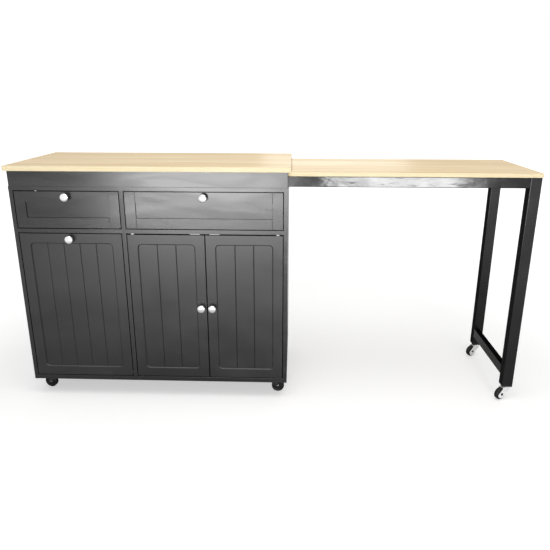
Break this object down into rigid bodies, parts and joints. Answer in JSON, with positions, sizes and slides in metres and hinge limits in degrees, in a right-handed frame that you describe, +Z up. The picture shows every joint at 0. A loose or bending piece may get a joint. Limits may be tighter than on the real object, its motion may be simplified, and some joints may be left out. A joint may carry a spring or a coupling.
{
  "type": "kitchen island with pull-out table",
  "caption": "Rolling kitchen island: dark cabinet with drawers, tilt-out bin front and doors, pale worktop, and a table on castors that slides out of a slot under the top.",
  "frame": {"origin": "on the floor, under the middle of the footprint with the table pulled out", "axes": "+X along the front towards the pulled-out table, +Y from the front to the back, +Z up"},
  "size_m": [1.917, 0.497, 0.915],
  "materials": {
    "worktop_wood": "satin lacquered pale wood",
    "black_board": "satin black paint on board",
    "box_wood": "clear sealed plain board",
    "steel": "zinc plated",
    "black_steel": "gloss black powder coat",
    "knob_metal": "bright plated",
    "white_plastic": "moulded nylon",
    "black_plastic": "moulded",
    "wheel_black": "moulded tread",
    "castor_chrome": "bright plated"
  },
  "bodies": {
    "cabinet": {"worktop": "worktop_wood", "apron_front": "black_board", "apron_back": "black_board", "apron_left": "black_board", "deck": "black_board", "side_left": "black_board", "side_right": "black_board", "divider": "black_board", "drawer_decks": "black_board", "bottom_board": "black_board", "back_panel": "black_board", "shelf": "black_board", "cabinet_pins": "steel", "drawer_runners_fixed": "steel", "table_guides": "white_plastic", "door_catches": "white_plastic", "castor_plates": "black_steel"},
    "bin": {"bin_front": "black_board", "bin_knob": "knob_metal", "bin_sides": "box_wood", "bin_bottom": "box_wood", "bin_back": "box_wood", "bin_pivots": "steel"},
    "table": {"table_top": "worktop_wood", "table_long_rails": "black_steel", "table_cross_rails": "black_steel", "table_legs": "black_steel", "table_foot_bar": "black_steel", "table_foot_caps": "black_plastic"},
    "drawer_left": {"drawer_left_front": "black_board", "drawer_left_sides": "box_wood", "drawer_left_back": "box_wood", "drawer_left_bottom": "box_wood", "drawer_left_runners": "steel", "drawer_left_knob": "knob_metal"},
    "drawer_right": {"drawer_right_front": "black_board", "drawer_right_sides": "box_wood", "drawer_right_back": "box_wood", "drawer_right_bottom": "box_wood", "drawer_right_runners": "steel", "drawer_right_knob": "knob_metal"},
    "door_left": {"door_left_panel": "black_board", "door_left_knob": "knob_metal", "door_left_hardware": "white_plastic"},
    "door_right": {"door_right_panel": "black_board", "door_right_knob": "knob_metal", "door_right_hardware": "white_plastic"},
    "castor_front_left": {"castor_front_left_fork": "black_steel"},
    "castor_front_left_roll": {"castor_front_left_wheel": "wheel_black"},
    "castor_front_right": {"castor_front_right_fork": "black_steel"},
    "castor_front_right_roll": {"castor_front_right_wheel": "wheel_black"},
    "castor_back_left": {"castor_back_left_fork": "black_steel"},
    "castor_back_left_roll": {"castor_back_left_wheel": "wheel_black"},
    "castor_back_right": {"castor_back_right_fork": "black_steel"},
    "castor_back_right_roll": {"castor_back_right_wheel": "wheel_black"},
    "table_castor_front": {"table_castor_front_fork": "castor_chrome"},
    "table_castor_front_roll": {"table_castor_front_wheel": "wheel_black"},
    "table_castor_back": {"table_castor_back_fork": "castor_chrome"},
    "table_castor_back_roll": {"table_castor_back_wheel": "wheel_black"}
  },
  "joints": [
    {"name": "drawer_left_slide", "type": "slide", "parent": "cabinet", "child": "drawer_left", "axis": [0, -1, 0], "range_m": [0, 0.26]},
    {"name": "drawer_right_slide", "type": "slide", "parent": "cabinet", "child": "drawer_right", "axis": [0, -1, 0], "range_m": [0, 0.26]},
    {"name": "bin_tilt", "type": "hinge", "parent": "cabinet", "child": "bin", "pos_m": [-0.741, -0.2225, 0.1025], "axis": [1, 0, 0], "range_deg": [0, 32]},
    {"name": "door_left_hinge", "type": "hinge", "parent": "cabinet", "child": "door_left", "pos_m": [-0.511, -0.2225, 0.37825], "axis": [0, 0, -1], "range_deg": [0, 90]},
    {"name": "door_right_hinge", "type": "hinge", "parent": "cabinet", "child": "door_right", "pos_m": [0.025, -0.2225, 0.37825], "axis": [0, 0, 1], "range_deg": [0, 90]},
    {"name": "table_slide", "type": "slide", "parent": "cabinet", "child": "table", "axis": [1, 0, 0], "range_m": [-0.835, 0]},
    {"name": "castor_front_left_swivel", "type": "hinge", "parent": "cabinet", "child": "castor_front_left", "pos_m": [-0.8895, -0.168, 0.05], "axis": [0, 0, 1], "continuous": true},
    {"name": "castor_front_left_turn", "type": "hinge", "parent": "castor_front_left", "child": "castor_front_left_roll", "pos_m": [-0.91327, -0.16466, 0.025], "axis": [-0.1392, -0.9903, 0], "continuous": true},
    {"name": "castor_front_right_swivel", "type": "hinge", "parent": "cabinet", "child": "castor_front_right", "pos_m": [0.0015, -0.168, 0.05], "axis": [0, 0, 1], "continuous": true},
    {"name": "castor_front_right_turn", "type": "hinge", "parent": "castor_front_right", "child": "castor_front_right_roll", "pos_m": [0.0255, -0.168, 0.025], "axis": [0, 1, 0], "continuous": true},
    {"name": "castor_back_left_swivel", "type": "hinge", "parent": "cabinet", "child": "castor_back_left", "pos_m": [-0.8895, 0.178, 0.05], "axis": [0, 0, 1], "continuous": true},
    {"name": "castor_back_left_turn", "type": "hinge", "parent": "castor_back_left", "child": "castor_back_left_roll", "pos_m": [-0.91268, 0.18421, 0.025], "axis": [-0.2588, -0.9659, 0], "continuous": true},
    {"name": "castor_back_right_swivel", "type": "hinge", "parent": "cabinet", "child": "castor_back_right", "pos_m": [0.0015, 0.178, 0.05], "axis": [0, 0, 1], "continuous": true},
    {"name": "castor_back_right_turn", "type": "hinge", "parent": "castor_back_right", "child": "castor_back_right_roll", "pos_m": [0.02405, 0.18621, 0.025], "axis": [-0.342, 0.9397, 0], "continuous": true},
    {"name": "table_castor_front_swivel", "type": "hinge", "parent": "table", "child": "table_castor_front", "pos_m": [0.934, -0.19, 0.05], "axis": [0, 0, 1], "continuous": true},
    {"name": "table_castor_front_turn", "type": "hinge", "parent": "table_castor_front", "child": "table_castor_front_roll", "pos_m": [0.91193, -0.20174, 0.024], "axis": [0.4695, -0.8829, 0], "continuous": true},
    {"name": "table_castor_back_swivel", "type": "hinge", "parent": "table", "child": "table_castor_back", "pos_m": [0.934, 0.201, 0.05], "axis": [0, 0, 1], "continuous": true},
    {"name": "table_castor_back_turn", "type": "hinge", "parent": "table_castor_back", "child": "table_castor_back_roll", "pos_m": [0.91193, 0.18926, 0.024], "axis": [0.4695, -0.8829, 0], "continuous": true}
  ]
}
